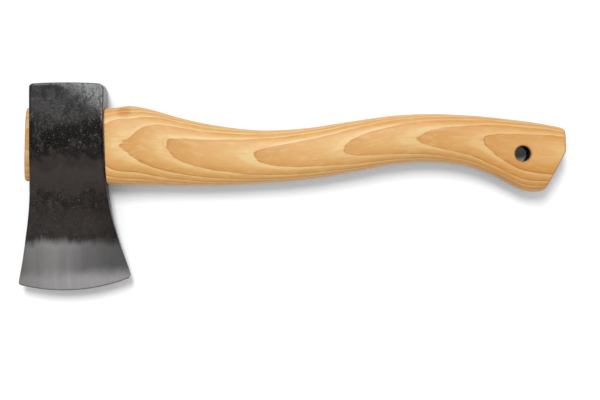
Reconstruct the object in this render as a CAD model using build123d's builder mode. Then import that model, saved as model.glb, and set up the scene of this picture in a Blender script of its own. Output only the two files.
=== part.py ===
"""A forged hatchet lying on its cheek.

The frame is that of the finished tool: +X runs from the head to the butt of the handle,
+Y from the cutting edge to the poll and +Z up out of the cheek, with the origin on the
floor under the middle of the whole outline. Shapes are drawn from the centre of the eye,
on the plane that halves the head's thickness.
"""

import os
from math import copysign, cos, pi, sin, sqrt

from build123d import *

# Driving dimensions, in millimetres. Places are measured from the centre of the eye.
HEAD_THICKNESS = 26.5  # over the cheeks at the eye, the thickest place
POLL_Y = 43.0  # top of the poll
EDGE_RADIUS = 126.0  # sweep of the cutting edge
EDGE_CENTRE = (-3.0, 23.7)  # centre of that sweep
TOE_X = -34.9  # the furthest that the bit reaches in front
TONGUE_END_X = -29.05  # the tongue stands proud of the head, for the wedges
TONGUE_LEAN = 0.0285  # its end is sawn a little out of square
BUTT_X = 348.0  # end of the handle
HOLE_AT = (317.8, -6.7)
HOLE_RADIUS = 5.25
OVAL_SIDES = 24  # flats round the handle and the eye
CLEAR = 20.0  # how far above and below mid-plane a cutter reaches, past everything
WIDE = 43.0  # how far it reaches towards poll and edge, past the handle

# The origin is at the bottom centre of the box around the whole hatchet.
EDGE_Y = EDGE_CENTRE[1] - EDGE_RADIUS
EYE_X = -(TOE_X + BUTT_X) / 2
EYE_Y = -(EDGE_Y + POLL_Y) / 2
EYE_Z = HEAD_THICKNESS / 2
MID = Plane(origin=(EYE_X, EYE_Y, EYE_Z))
HANDLE_AXIS = Axis((EYE_X, EYE_Y, EYE_Z), (1, 0, 0))


def across_head(x, y):
    """The plane across the head through (x, y): its own x is the hatchet's X, its y is Z."""
    return Plane(origin=(EYE_X + x, EYE_Y + y, EYE_Z), x_dir=(1, 0, 0), z_dir=(0, -1, 0))


def across_handle(x):
    """The plane across the handle at a distance x: its own x is the hatchet's Y, its y is Z."""
    return Plane(origin=(EYE_X + x, EYE_Y, EYE_Z), x_dir=(0, 1, 0), z_dir=(1, 0, 0))


def oval(x, top, bottom, thickness, squareness, lean=0.0):
    """A squared oval across the handle, in flats as a drawknife leaves them.

    It is an ellipse at squareness 2 and nearer a box above it. A positive lean makes it
    thicker towards the poll and thinner towards the bit.
    """
    points = []
    for step in range(OVAL_SIDES):
        turn = 2 * pi * (step + 0.5) / OVAL_SIDES
        along = copysign(abs(cos(turn)) ** (2 / squareness), cos(turn))
        out = copysign(abs(sin(turn)) ** (2 / squareness), sin(turn))
        y = (top + bottom) / 2 + (top - bottom) / 2 * along
        points.append((y, thickness / 2 * out * (1 + lean * along)))
    with BuildSketch(across_handle(x)) as section:
        with BuildLine():
            Polyline(points, close=True)
        make_face()
    return section.sketch


# ---- Head: one forging of carbon steel, drawn out from a square poll to a flared bit.

# Height, x of the toe side, x of the heel side, thickness, chamfer of the long corners.
HEAD_SECTIONS = [
    (48, -25.6, 26.1, 22.6, 1.0),
    (34, -25.6, 25.9, 24.4, 1.0),
    (18, -25.7, 26.0, 26.0, 1.0),
    (2, -25.7, 26.5, 26.5, 1.1),
    (-12, -25.7, 27.0, 25.4, 1.2),
    (-25, -25.8, 27.4, 20.6, 1.3),
    (-39, -26.4, 28.5, 14.6, 1.4),
    (-52, -27.7, 30.9, 10.6, 1.5),
    (-64, -29.3, 34.3, 8.6, 1.5),
    (-77, -31.1, 38.6, 7.3, 1.5),
    (-91, -33.55, 43.9, 6.4, 1.5),
    (-107, -36.7, 50.5, 5.8, 1.5),
]
CHEEK_CROWN = 0.35  # how far the middle of a cheek stands above its corners
SIDE_CROWN = 0.15

# Ground bit: distance in from the edge, half the thickness there.
GRIND = [(0, 0.1), (4, 0.85), (10, 1.75), (18, 2.75), (27, 3.65), (35, 4.35)]
GRIND_RUN_OUT = (62, 12.5)

# The poll's outline, drawn a little wider than the forging further down.
POLL_CROWN = 0.8
POLL_HALF = 25.6
POLL_MIDDLE = 0.35
POLL_CORNERS = (2.2, 3.8)  # toe side, heel side
POLL_RADIUS = (POLL_HALF**2 + POLL_CROWN**2) / (2 * POLL_CROWN)


def on_edge(x):
    """The place on the cutting edge at a distance x."""
    return (x, EDGE_CENTRE[1] - sqrt(EDGE_RADIUS**2 - (x - EDGE_CENTRE[0]) ** 2))


# Tips of the bit, and two places further up each flank, clear of the forging.
TOE = on_edge(-35.0)
TOE_FLANK = (-34, -80)
TOE_NECK = (-31, -30)
HEEL = on_edge(44.2)
HEEL_FLANK = (42.4, -85)
HEEL_NECK = (31, -30)
TIP_ROUND = 2.0

# The dressing of the poll's rim: distance out from its crown's centre, height above mid-plane.
DRESSED_FACE = (POLL_RADIUS + 0.2, 9.6)
DRESSED_MIDDLE = (POLL_RADIUS - 0.4, 11.1)
DRESSED_CHEEK = (POLL_RADIUS - 1.7, 11.8)

# Size of the eye: x, length, width. It is narrowest inside, so that wedging locks the head on.
EYE_SECTIONS = [
    (-34, 52.2, 19.4),
    (-12, 51.0, 18.3),
    (8, 50.4, 17.8),
    (34, 51.3, 18.5),
]
EYE_SQUARENESS = 2.7
EYE_LEAN = 0.13


def head_section(y, toe, heel, thickness, corner):
    """A rectangle with slightly crowned sides and chamfered corners."""
    high = thickness / 2 - CHEEK_CROWN
    middle = (toe + heel) / 2
    with BuildSketch(across_head(0, y)) as section:
        with BuildLine():
            ThreePointArc((toe, -high), (middle, -thickness / 2), (heel, -high))
            ThreePointArc((heel, -high), (heel + SIDE_CROWN, 0), (heel, high))
            ThreePointArc((heel, high), (middle, thickness / 2), (toe, high))
            ThreePointArc((toe, high), (toe - SIDE_CROWN, 0), (toe, -high))
        make_face()
        chamfer(section.vertices(), corner)
    return section.sketch


def eye_loft(gap=0.0):
    """The inside of the eye, all of it smaller by a gap."""
    return loft(
        [
            oval(x, length / 2 - gap, gap - length / 2, width - 2 * gap, EYE_SQUARENESS, EYE_LEAN)
            for x, length, width in EYE_SECTIONS
        ]
    )


with BuildPart() as plan_block:
    with BuildSketch(MID) as plan:
        left = (POLL_MIDDLE - POLL_HALF, POLL_Y - POLL_CROWN)
        right = (POLL_MIDDLE + POLL_HALF, POLL_Y - POLL_CROWN)
        with BuildLine():
            ThreePointArc(left, (POLL_MIDDLE, POLL_Y), right)
            Line(right, HEEL_NECK)
            Line(HEEL_NECK, HEEL_FLANK)
            Line(HEEL_FLANK, HEEL)
            ThreePointArc(HEEL, (EDGE_CENTRE[0], EDGE_Y), TOE)
            Line(TOE, TOE_FLANK)
            Line(TOE_FLANK, TOE_NECK)
            Line(TOE_NECK, left)
        make_face()
        rounds = (*POLL_CORNERS, TIP_ROUND, TIP_ROUND)
        for corner, radius in zip((left, right, TOE, HEEL), rounds):
            nearest = plan.vertices().sort_by_distance(Vector(*corner))[0]
            fillet(nearest, radius)
    extrude(amount=HEAD_THICKNESS, both=True)

with BuildPart() as grind:
    with BuildSketch(across_head(*EDGE_CENTRE)) as profile:
        with BuildLine():
            points = [(EDGE_RADIUS - inset, high) for inset, high in GRIND]
            Spline(points)
            run_out = (EDGE_RADIUS - GRIND_RUN_OUT[0], GRIND_RUN_OUT[1])
            Line(points[-1], run_out)
            Line(run_out, (run_out[0], HEAD_THICKNESS))
            Line((run_out[0], HEAD_THICKNESS), (0, HEAD_THICKNESS))
            Line((0, HEAD_THICKNESS), (0, 0))
            Line((0, 0), (EDGE_RADIUS, 0))
            Line((EDGE_RADIUS, 0), points[0])
        make_face()
        mirror(about=Plane.XZ)
    revolve(axis=Axis((EYE_X + EDGE_CENTRE[0], EYE_Y + EDGE_CENTRE[1], 0), (0, 0, 1)))

# What is dressed off the poll's rim, swept along its crown.
with BuildPart() as poll_dressing:
    with BuildSketch(across_head(POLL_MIDDLE, POLL_Y - POLL_RADIUS)):
        with BuildLine():
            ThreePointArc(DRESSED_FACE, DRESSED_MIDDLE, DRESSED_CHEEK)
            Polyline(
                DRESSED_CHEEK,
                (DRESSED_CHEEK[0], CLEAR),
                (POLL_RADIUS + 3, CLEAR),
                (POLL_RADIUS + 3, DRESSED_FACE[1]),
                DRESSED_FACE,
            )
        make_face()
        mirror(about=Plane.XZ)
    crown_axis = Axis((EYE_X + POLL_MIDDLE, EYE_Y + POLL_Y - POLL_RADIUS, 0), (0, 0, 1))
    revolve(axis=crown_axis)

with BuildPart() as eye:
    eye_loft()

with BuildPart() as head:
    loft([head_section(*station) for station in HEAD_SECTIONS])
    add(plan_block.part, mode=Mode.INTERSECT)
    add(grind.part, mode=Mode.INTERSECT)
    add(poll_dressing.part, mode=Mode.SUBTRACT)
    add(eye.part, mode=Mode.SUBTRACT)

# ---- Handle: one stave of hickory, with a tongue that fills the eye.

# x, top, bottom, thickness, squareness of the section.
HANDLE_SECTIONS = [
    (18, 25.1, -27.5, 23.0, 3.3),
    (34, 25.7, -28.3, 23.7, 3.3),
    (44, 27.0, -28.4, 24.0, 3.2),
    (57, 24.9, -28.6, 23.6, 3.0),
    (78.7, 18.7, -28.9, 22.6, 2.7),
    (104, 13.4, -28.9, 21.8, 2.5),
    (134.8, 10.0, -27.3, 21.9, 2.5),
    (166, 11.4, -24.8, 22.3, 2.5),
    (198, 16.1, -19.8, 22.9, 2.5),
    (228, 20.2, -14.3, 23.3, 2.5),
    (254, 21.4, -12.5, 23.6, 2.5),
    (277, 20.6, -14.7, 24.0, 2.6),
    (296.2, 19.1, -21.0, 24.2, 2.7),
    (310.2, 17.5, -28.0, 24.4, 2.8),
    (321, 16.2, -32.7, 24.5, 2.8),
    (335, 14.0, -32.5, 24.3, 2.8),
    (356, 10.0, -30.0, 23.7, 2.8),
]
SHOULDER = ((25.6, WIDE), (28.3, -40))  # bears on the head's underside
TONGUE_STOP = 33.0  # the tongue runs on into the handle as far as this
FIT = 0.05  # between the tongue and the eye
TONGUE_ROUND = 1.6
# The sawn butt: its two flat cuts meet in a rounded corner.
BUTT_UPPER = (BUTT_X, 11.5)
BUTT_MIDDLE = (BUTT_X, -5.0)
BUTT_LOWER = (333.4, -33.0)
BUTT_ROUNDS = (4.0, 5.0, 6.0)  # upper, middle, lower
BUTT_ABOVE = (341.5, 13.3)  # on the handle's back, where the upper round begins
BUTT_BELOW = (322.0, -34.6)  # under its belly, clear of it
BUTT_THICKNESS = 24.6
BUTT_CHAMFER = 1.4
HOLE_CHAMFER = 0.9

# The saw cut for the wedges, and what is driven into it.
KERF_DEPTH = 36.0
WEDGE_LENGTH = 33.0
WEDGE_HALF = 2.75
WEDGE_TAPER = 0.059  # per side
RING_RADIUS = 7.0
RING_WALL = 1.6
RING_TIP = (6.0, 6.4)  # inner and outer radius at its leading end
RING_LENGTH = 12.0

with BuildPart() as tongue:
    eye_loft(FIT)
    with BuildSketch(MID):
        with BuildLine():
            Polyline(
                (TONGUE_END_X - TONGUE_LEAN * WIDE, -WIDE),
                (TONGUE_STOP, -WIDE),
                (TONGUE_STOP, WIDE),
                (TONGUE_END_X + TONGUE_LEAN * WIDE, WIDE),
                close=True,
            )
        make_face()
    extrude(amount=CLEAR, both=True, mode=Mode.INTERSECT)
    fillet(tongue.faces().sort_by(Axis.X)[0].edges(), TONGUE_ROUND)

with BuildPart() as kerf:
    with BuildSketch(across_head(0, 0)):
        with BuildLine():
            end_half = WEDGE_HALF - WEDGE_TAPER * KERF_DEPTH
            Polyline(
                (TONGUE_END_X, WEDGE_HALF),
                (TONGUE_END_X + KERF_DEPTH, end_half),
                (TONGUE_END_X + KERF_DEPTH, -end_half),
                (TONGUE_END_X, -WEDGE_HALF),
                close=True,
            )
        make_face()
    extrude(amount=WIDE, both=True)

with BuildPart() as ring_wedge:
    with BuildSketch(MID):
        with BuildLine():
            Polyline(
                (TONGUE_END_X, RING_RADIUS),
                (TONGUE_END_X, RING_RADIUS - RING_WALL),
                (TONGUE_END_X + RING_LENGTH, RING_TIP[0]),
                (TONGUE_END_X + RING_LENGTH, RING_TIP[1]),
                close=True,
            )
        make_face()
    revolve(axis=HANDLE_AXIS)

with BuildPart() as shoulder_block:
    with BuildSketch(MID):
        with BuildLine():
            Polyline(
                SHOULDER[0], (BUTT_X, WIDE), (BUTT_X, SHOULDER[1][1]), SHOULDER[1], close=True
            )
        make_face()
    extrude(amount=CLEAR, both=True)

with BuildPart() as butt_block:
    with BuildSketch(MID) as blank:
        with BuildLine():
            Polyline(
                (0, WIDE),
                (BUTT_ABOVE[0], WIDE),
                BUTT_ABOVE,
                BUTT_UPPER,
                BUTT_MIDDLE,
                BUTT_LOWER,
                BUTT_BELOW,
                (BUTT_BELOW[0], -WIDE),
                (0, -WIDE),
                close=True,
            )
        make_face()
        corners = (BUTT_UPPER, BUTT_MIDDLE, BUTT_LOWER)
        for corner, radius in zip(corners, BUTT_ROUNDS):
            nearest = blank.vertices().sort_by_distance(Vector(*corner))[0]
            fillet(nearest, radius)
    extrude(amount=BUTT_THICKNESS / 2, both=True)
    levels = butt_block.edges().group_by(Axis.Z)
    chamfer(levels[0] + levels[-1], BUTT_CHAMFER)

with BuildPart() as hole_tool:
    with BuildSketch(across_head(*HOLE_AT)):
        with BuildLine():
            straight = BUTT_THICKNESS / 2 - HOLE_CHAMFER
            Polyline(
                (0, 0),
                (HOLE_RADIUS, 0),
                (HOLE_RADIUS, straight),
                (HOLE_RADIUS + 3, straight + 3),
                (0, straight + 3),
                close=True,
            )
        make_face()
        mirror(about=Plane.XZ)
    revolve(axis=Axis((EYE_X + HOLE_AT[0], EYE_Y + HOLE_AT[1], 0), (0, 0, 1)))

with BuildPart() as handle:
    loft([oval(*station) for station in HANDLE_SECTIONS])
    add(shoulder_block.part, mode=Mode.INTERSECT)
    add(butt_block.part, mode=Mode.INTERSECT)
    add(hole_tool.part, mode=Mode.SUBTRACT)
    add(tongue.part)
    add(kerf.part, mode=Mode.SUBTRACT)
    add(ring_wedge.part, mode=Mode.SUBTRACT)

with BuildPart() as wooden_wedge:
    add(kerf.part)
    add(tongue.part, mode=Mode.INTERSECT)
    with BuildSketch(MID):
        with BuildLine():
            stop = TONGUE_END_X + WEDGE_LENGTH
            Polyline((-WIDE, -WIDE), (stop, -WIDE), (stop, WIDE), (-WIDE, WIDE), close=True)
        make_face()
    extrude(amount=CLEAR, both=True, mode=Mode.INTERSECT)
    add(ring_wedge.part, mode=Mode.SUBTRACT)

head.part.label = "head"
handle.part.label = "handle"
wooden_wedge.part.label = "wooden_wedge"
ring_wedge.part.label = "ring_wedge"

os.makedirs("parts", exist_ok=True)
export_step(head.part, "parts/head.step")
export_step(handle.part, "parts/handle.step")
export_step(wooden_wedge.part, "parts/wooden_wedge.step")
export_step(ring_wedge.part, "parts/ring_wedge.step")
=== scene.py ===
import math

import bmesh
import bpy
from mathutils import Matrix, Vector, noise


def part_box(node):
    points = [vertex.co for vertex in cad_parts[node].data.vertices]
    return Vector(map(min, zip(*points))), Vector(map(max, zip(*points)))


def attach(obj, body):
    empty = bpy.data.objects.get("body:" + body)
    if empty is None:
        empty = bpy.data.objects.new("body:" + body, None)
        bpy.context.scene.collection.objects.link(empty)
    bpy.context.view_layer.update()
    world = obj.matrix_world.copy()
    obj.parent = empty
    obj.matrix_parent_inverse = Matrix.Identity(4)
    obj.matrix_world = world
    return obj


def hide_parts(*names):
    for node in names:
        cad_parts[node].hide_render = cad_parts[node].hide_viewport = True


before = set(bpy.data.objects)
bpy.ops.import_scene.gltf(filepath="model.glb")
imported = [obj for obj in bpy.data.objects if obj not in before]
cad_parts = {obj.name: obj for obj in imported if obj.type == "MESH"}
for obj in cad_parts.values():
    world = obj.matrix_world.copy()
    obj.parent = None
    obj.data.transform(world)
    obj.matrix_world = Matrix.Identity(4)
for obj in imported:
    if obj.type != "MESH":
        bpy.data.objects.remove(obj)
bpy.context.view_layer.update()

# ---- Handle
# The handle is one stave of hickory, sawn to an S-shaped outline, turned and
# sanded to a squared oval and clear lacquered. Its tongue fills the head's eye,
# a saw cut in the tongue takes the wedges, and the butt is sawn in two flats.

# Drawn in millimetres from the middle of the eye: x to the butt, y to the poll.
EYE_TO_BUTT = 348
EYE_TO_POLL = 43
head_low, head_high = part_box("head")
handle_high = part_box("handle")[1]
EYE = Vector((
    handle_high.x - EYE_TO_BUTT / 1000,
    head_high.y - EYE_TO_POLL / 1000,
    (head_low.z + head_high.z) / 2,
))

# x, length and width of the eye, which the tongue fills
EYE_SECTIONS = [
    (-34, 52.2, 19.4),
    (-12, 51.0, 18.3),
    (8, 50.4, 17.8),
    (34, 51.3, 18.5),
]
EYE_SQUARENESS = 2.7
EYE_LEAN = 0.13  # how much wider it is at the poll's end than in the middle
FIT = 0.05  # how far the tongue and the wedges stay clear of what holds them
# x, top, bottom, thickness, squareness
HANDLE_SECTIONS = [
    (18, 25.1, -27.5, 23.0, 3.3),
    (34, 25.7, -28.3, 23.7, 3.3),
    (44, 27.0, -28.4, 24.0, 3.2),
    (57, 24.9, -28.6, 23.6, 3.0),
    (78.7, 18.7, -28.9, 22.6, 2.7),
    (104, 13.4, -28.9, 21.8, 2.5),
    (134.8, 10.0, -27.3, 21.9, 2.5),
    (166, 11.4, -24.8, 22.3, 2.5),
    (198, 16.1, -19.8, 22.9, 2.5),
    (228, 20.2, -14.3, 23.3, 2.5),
    (254, 21.4, -12.5, 23.6, 2.5),
    (277, 20.6, -14.7, 24.0, 2.6),
    (296.2, 19.1, -21.0, 24.2, 2.7),
    (310.2, 17.5, -28.0, 24.4, 2.8),
    (321, 16.2, -32.7, 24.5, 2.8),
    (335, 14.0, -32.5, 24.3, 2.8),
    (356, 10.0, -30.0, 23.7, 2.8),
]
AROUND_HANDLE = 120

TONGUE_END = -29.05
TONGUE_LEAN = 0.0285
TONGUE_ROUND = 1.6

# The shoulder leans: its x at the height of the poll, and how far it falls back to the belly.
SHOULDER_TOP = 25.6
SHOULDER_FALL = 2.7 / 83
SHOULDER_MIDDLE = 26.5
SHOULDER_ROUND = 0.5

STAVE_START, STAVE_STEP, STAVE_RINGS = 28.5, 2.5, 108
STAVE_END = STAVE_START + STAVE_STEP * (STAVE_RINGS - 1)
SHOULDER_RUN = 20  # over which the stave's rings come upright

# The butt's rounded corners, each with the x and y of its centre and its radius,
# and its two flats: one upright, one slanting from a point down to a height.
UPPER_ROUND = (343.99, 8.46, 4.0)
MIDDLE_ROUND = (342.99, -3.776, 5.0)
LOWER_ROUND = (329.51, -27.49, 6.0)
BUTT_FLAT = 347.99
SLANT_FROM = (347.434, -6.085)
SLANT_DOWN_TO = -30.26
SLANT = 0.5214
BUTT_STEPS = 16
BUTT_RIM = 1.5

HOLE_AT = (317.8, -6.7)
HOLE_RADIUS = 5.25

KERF_DEPTH = 36.0
WEDGE_HALF = 2.75
WEDGE_TAPER = 0.059
RING_RADIUS = 7.0
RING_WALL = 1.6
RING_LENGTH = 12.0


def from_eye(x, y, z):
    """A place given in millimetres from the middle of the eye."""
    return EYE + Vector((x, y, z)) * 0.001


def between(stations, at):
    """The sizes at a place between two stations, on a smooth curve through them."""
    at = min(max(at, stations[0][0]), stations[-1][0])
    second = next(index for index in range(1, len(stations)) if at <= stations[index][0])
    here, there = stations[second - 1], stations[second]
    before, after = stations[max(second - 2, 0)], stations[min(second + 1, len(stations) - 1)]
    span = there[0] - here[0]
    t = (at - here[0]) / span
    sizes = []
    for a, b, c, d in zip(before[1:], here[1:], there[1:], after[1:]):
        leaving = (c - a) / (there[0] - before[0]) * span
        arriving = (d - b) / (after[0] - here[0]) * span
        sizes.append(
            b * (2 * t**3 - 3 * t**2 + 1)
            + c * (3 * t**2 - 2 * t**3)
            + leaving * (t**3 - 2 * t**2 + t)
            + arriving * (t**3 - t**2)
        )
    return sizes


def oval_place(turn, top, bottom, thickness, squareness, lean=0.0, inset=0.0):
    """y and z of a point on a squared oval, at a turn from its top."""
    half_long = (top - bottom) / 2 - inset
    half_thick = thickness / 2 - inset
    up = math.copysign(abs(math.cos(turn)) ** (2 / squareness), math.cos(turn))
    out = math.copysign(abs(math.sin(turn)) ** (2 / squareness), math.sin(turn))
    return (top + bottom) / 2 + half_long * up, half_thick * out * (1 + lean * up)


def draw_out(bm, count, rings, place):
    """A tube of rings, each extruded from the last and put in its place."""
    turn_of = bm.verts.layers.float.new("turn")
    ring = bmesh.ops.create_circle(bm, segments=count, radius=1)["verts"]
    for vert in ring:
        vert[turn_of] = math.atan2(vert.co.y, vert.co.x)
        vert.co = place(rings[0], vert[turn_of])
    first = ring
    edges = list(dict.fromkeys(edge for vert in ring for edge in vert.link_edges))
    for here in rings[1:]:
        made = bmesh.ops.extrude_edge_only(bm, edges=edges)["geom"]
        ring = [part for part in made if isinstance(part, bmesh.types.BMVert)]
        fresh = set(ring)
        edges = [
            part for part in made
            if isinstance(part, bmesh.types.BMEdge) and fresh.issuperset(part.verts)
        ]
        for vert in ring:
            vert.co = place(here, vert[turn_of])
    return first, ring, turn_of


def close_end(bm, ring, turn_of):
    """A face over the end of a tube, divided into strips straight across it."""
    rim = dict.fromkeys(
        edge for vert in ring for edge in vert.link_edges if len(edge.link_faces) == 1
    )
    bmesh.ops.contextual_create(bm, geom=list(rim))
    by_turn = {round(vert[turn_of], 4): vert for vert in ring}
    for turn, vert in by_turn.items():
        other = by_turn.get(round(-turn, 4))
        if other and 0.05 < turn < 3.09:
            bmesh.ops.connect_vert_pair(bm, verts=[vert, other])


def soften(piece):
    """Smooth shading, broken at edges sharper than 35 degrees."""
    piece.data.shade_smooth()
    piece.data.set_sharp_from_angle(angle=math.radians(35))


def finish_mesh(bm, name):
    """The object of a finished bmesh, with its faces turned outwards."""
    bmesh.ops.remove_doubles(bm, verts=bm.verts, dist=1e-7)
    bmesh.ops.recalc_face_normals(bm, faces=bm.faces)
    mesh = bpy.data.meshes.new(name)
    bm.to_mesh(mesh)
    bm.free()
    piece = bpy.data.objects.new(name, mesh)
    bpy.context.scene.collection.objects.link(piece)
    soften(piece)
    return piece


def cut_away(piece, *cutters):
    """Saw or bore a piece with each cutter, and keep the result as its mesh."""
    for cutter in cutters:
        saw = piece.modifiers.new("saw", "BOOLEAN")
        saw.operation = "DIFFERENCE"
        saw.solver = "EXACT"
        saw.object = cutter
    bpy.context.view_layer.update()
    rough = piece.data
    cut = piece.evaluated_get(bpy.context.evaluated_depsgraph_get())
    piece.data = bpy.data.meshes.new_from_object(cut)
    piece.modifiers.clear()
    piece.data.name = piece.name
    bpy.data.meshes.remove(rough)
    for cutter in cutters:
        bpy.data.objects.remove(cutter)
    soften(piece)


def turned(profile, centre, axis, name, steps=64):
    """A shape spun from a closed profile of (distance along the axis, radius)."""
    bm = bmesh.new()
    side = Vector((0, 1, 0)) if axis.x else Vector((1, 0, 0))
    verts = [bm.verts.new(centre + (axis * far + side * radius) * 0.001) for far, radius in profile]
    edges = [bm.edges.new((verts[index - 1], verts[index])) for index in range(1, len(verts))]
    if profile[0][1] > 0:
        edges.append(bm.edges.new((verts[-1], verts[0])))
    bmesh.ops.spin(
        bm, geom=verts + edges, cent=centre, axis=axis, angle=math.tau, steps=steps, use_merge=True
    )
    return finish_mesh(bm, name)


def quarter_round(radius, steps, first=0):
    """How far on and how far in the steps round a corner lie, from its end to its side."""
    for step in range(first, steps + 1):
        turn = math.pi / 2 * step / steps
        yield radius * (1 - math.cos(turn)), radius * (1 - math.sin(turn))


def shoulder_x(y):
    """Where the handle bears on the underside of the head."""
    return SHOULDER_TOP + (EYE_TO_POLL - y) * SHOULDER_FALL


def corner_x(corner, y):
    """How far a rounded corner of the butt reaches at a height."""
    x, middle, radius = corner
    return x + math.sqrt(max(radius**2 - (y - middle) ** 2, 0))


def butt_x(y):
    """How far the sawn butt reaches at a height."""
    if y > UPPER_ROUND[1]:
        return corner_x(UPPER_ROUND, y)
    if y > MIDDLE_ROUND[1]:
        return BUTT_FLAT
    if y > SLANT_FROM[1]:
        return corner_x(MIDDLE_ROUND, y)
    if y > SLANT_DOWN_TO:
        return SLANT_FROM[0] + (y - SLANT_FROM[1]) * SLANT
    return corner_x(LOWER_ROUND, y)


def out_of_square(far, y):
    """How the end of the tongue, and what is driven into it, leans back at a height."""
    return TONGUE_LEAN * y * min(max((TONGUE_END + 15 - far) / 12, 0), 1)


def tongue_section(x):
    """Top, bottom, width, squareness and lean of the tongue."""
    length, width = between(EYE_SECTIONS, x)
    return length / 2 - FIT, FIT - length / 2, width - 2 * FIT, EYE_SQUARENESS, EYE_LEAN


# Each ring of the handle is (kind, how far, inset).
handle_rings = [
    ("tongue", TONGUE_END + along, inset) for along, inset in quarter_round(TONGUE_ROUND, 5)
]
handle_rings += [("tongue", x, 0) for x in (-25, -20, -14, -8, -2, 4, 10, 16, 21)]
handle_rings += [("inner shoulder", 0, 0)]
handle_rings += [("shoulder", along, inset) for along, inset in quarter_round(SHOULDER_ROUND, 3)]
handle_rings += [("stave", STAVE_START + STAVE_STEP * step, 0) for step in range(STAVE_RINGS)]
handle_rings += [("butt", step / BUTT_STEPS, 0) for step in range(1, BUTT_STEPS + 1)]
handle_rings += [("rim", back, inset) for inset, back in quarter_round(BUTT_RIM, 5, 1)]


def handle_place(ring, turn):
    """Where a point of a ring lies on the handle."""
    kind, far, inset = ring
    if kind == "tongue":
        y, z = oval_place(turn, *tongue_section(far), inset=inset)
        return from_eye(far + out_of_square(far, y), y, z)
    if kind == "inner shoulder":
        y, z = oval_place(turn, *tongue_section(SHOULDER_MIDDLE))
        return from_eye(shoulder_x(y), y, z)
    if kind == "shoulder":
        y, z = oval_place(turn, *between(HANDLE_SECTIONS, SHOULDER_MIDDLE + 0.5), inset=inset)
        return from_eye(shoulder_x(y) + far, y, z)
    if kind == "stave":
        y, z = oval_place(turn, *between(HANDLE_SECTIONS, far))
        leaning = max(0, 1 - (far - STAVE_START) / SHOULDER_RUN)
        return from_eye(far + leaning * (shoulder_x(y) - SHOULDER_MIDDLE), y, z)
    # The rings of the butt lean over until they follow its sawn outline.
    share, back = (far, BUTT_RIM) if kind == "butt" else (1, far)
    x = STAVE_END
    for _ in range(6):
        y, z = oval_place(turn, *between(HANDLE_SECTIONS, x), inset=inset)
        x = STAVE_END + (butt_x(y) - back - STAVE_END) * share
    return from_eye(x, y, z)


handle_bm = bmesh.new()
tongue_ring, butt_ring, turn_layer = draw_out(handle_bm, AROUND_HANDLE, handle_rings, handle_place)
close_end(handle_bm, tongue_ring, turn_layer)
close_end(handle_bm, butt_ring, turn_layer)
handle_bm.verts.layers.float.remove(turn_layer)
handle_piece = finish_mesh(handle_bm, "handle_stave")

# The hanging hole is bored through, with its rims eased. The tongue is sawn for
# the wooden wedge, and the ring wedge is driven in over both.
HOLE_PROFILE = [
    (-14, 0), (-14, 7.95), (-12.4, 6.35), (-11.9, 5.85), (-11.45, 5.5), (-10.9, 5.3),
    (-10.2, HOLE_RADIUS), (10.2, HOLE_RADIUS),
    (10.9, 5.3), (11.45, 5.5), (11.9, 5.85), (12.4, 6.35), (14, 7.95), (14, 0),
]
hole_cutter = turned(HOLE_PROFILE, from_eye(*HOLE_AT, 0), Vector((0, 0, 1)), "hole_cutter", 72)
kerf_bm = bmesh.new()
bmesh.ops.create_cube(kerf_bm, size=2)
for vert in kerf_bm.verts:
    far = -3.0 if vert.co.x < 0 else KERF_DEPTH
    half = WEDGE_HALF - WEDGE_TAPER * far
    vert.co = from_eye(TONGUE_END + far, 40 * vert.co.y, half * vert.co.z)
kerf_cutter = finish_mesh(kerf_bm, "kerf_cutter")
RING_GROOVE = [
    (-0.5, RING_RADIUS + 0.12), (0, RING_RADIUS + 0.1), (0.35, RING_RADIUS),
    (RING_LENGTH, RING_RADIUS - 0.6), (RING_LENGTH, RING_RADIUS - 1.0),
    (0.35, RING_RADIUS - RING_WALL), (0, RING_RADIUS - RING_WALL - 0.1),
    (-0.5, RING_RADIUS - RING_WALL - 0.12),
]


def ring_cutter():
    """What the ring wedge presses out of the tongue and the wooden wedge."""
    return turned(RING_GROOVE, from_eye(TONGUE_END, 0, 0), Vector((1, 0, 0)), "ring_cutter")


cut_away(handle_piece, hole_cutter, kerf_cutter, ring_cutter())


def add_node(tree, kind, **settings):
    """A shader node with its properties set."""
    node = tree.nodes.new(kind)
    for name, value in settings.items():
        setattr(node, name, value)
    return node


def link(tree, source, target):
    """A link from one socket to another."""
    tree.links.new(source, target)


def fill(tree, sockets, values):
    """Sockets linked to other sockets, or set to plain numbers and colours."""
    for socket, value in zip(sockets, values):
        if hasattr(value, "links"):
            link(tree, value, socket)
        else:
            socket.default_value = (*value, 1) if isinstance(value, tuple) else value


def calculate(tree, operation, *values, clamp=False):
    """A Math node on sockets or plain numbers."""
    node = add_node(tree, "ShaderNodeMath", operation=operation, use_clamp=clamp)
    fill(tree, node.inputs, values)
    return node.outputs[0]


def ease(tree, value, low, high, to_low=0.0, to_high=1.0):
    """A smooth step between two values."""
    node = add_node(tree, "ShaderNodeMapRange", interpolation_type="SMOOTHSTEP")
    fill(tree, node.inputs, (value, low, high, to_low, to_high))
    return node.outputs[0]


def curve_through(tree, value, points):
    """A Float Curve through plain (place, height) points, both from 0 to 1."""
    node = add_node(tree, "ShaderNodeFloatCurve")
    line = node.mapping.curves[0]
    line.points[0].location = points[0]
    line.points[1].location = points[-1]
    for place, height in points[1:-1]:
        line.points.new(place, height)
    node.mapping.update()
    link(tree, value, node.inputs["Value"])
    return node.outputs["Value"]


def colour_steps(tree, value, steps, interpolation="LINEAR"):
    """A Color Ramp with its stops at the given places."""
    node = add_node(tree, "ShaderNodeValToRGB")
    node.color_ramp.interpolation = interpolation
    stops = node.color_ramp.elements
    while len(stops) < len(steps):
        stops.new(0.5)
    for stop, (place, colour) in zip(stops, steps):
        stop.position = place
        stop.color = (*colour, 1)
    link(tree, value, node.inputs["Fac"])
    return node.outputs["Color"]


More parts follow.
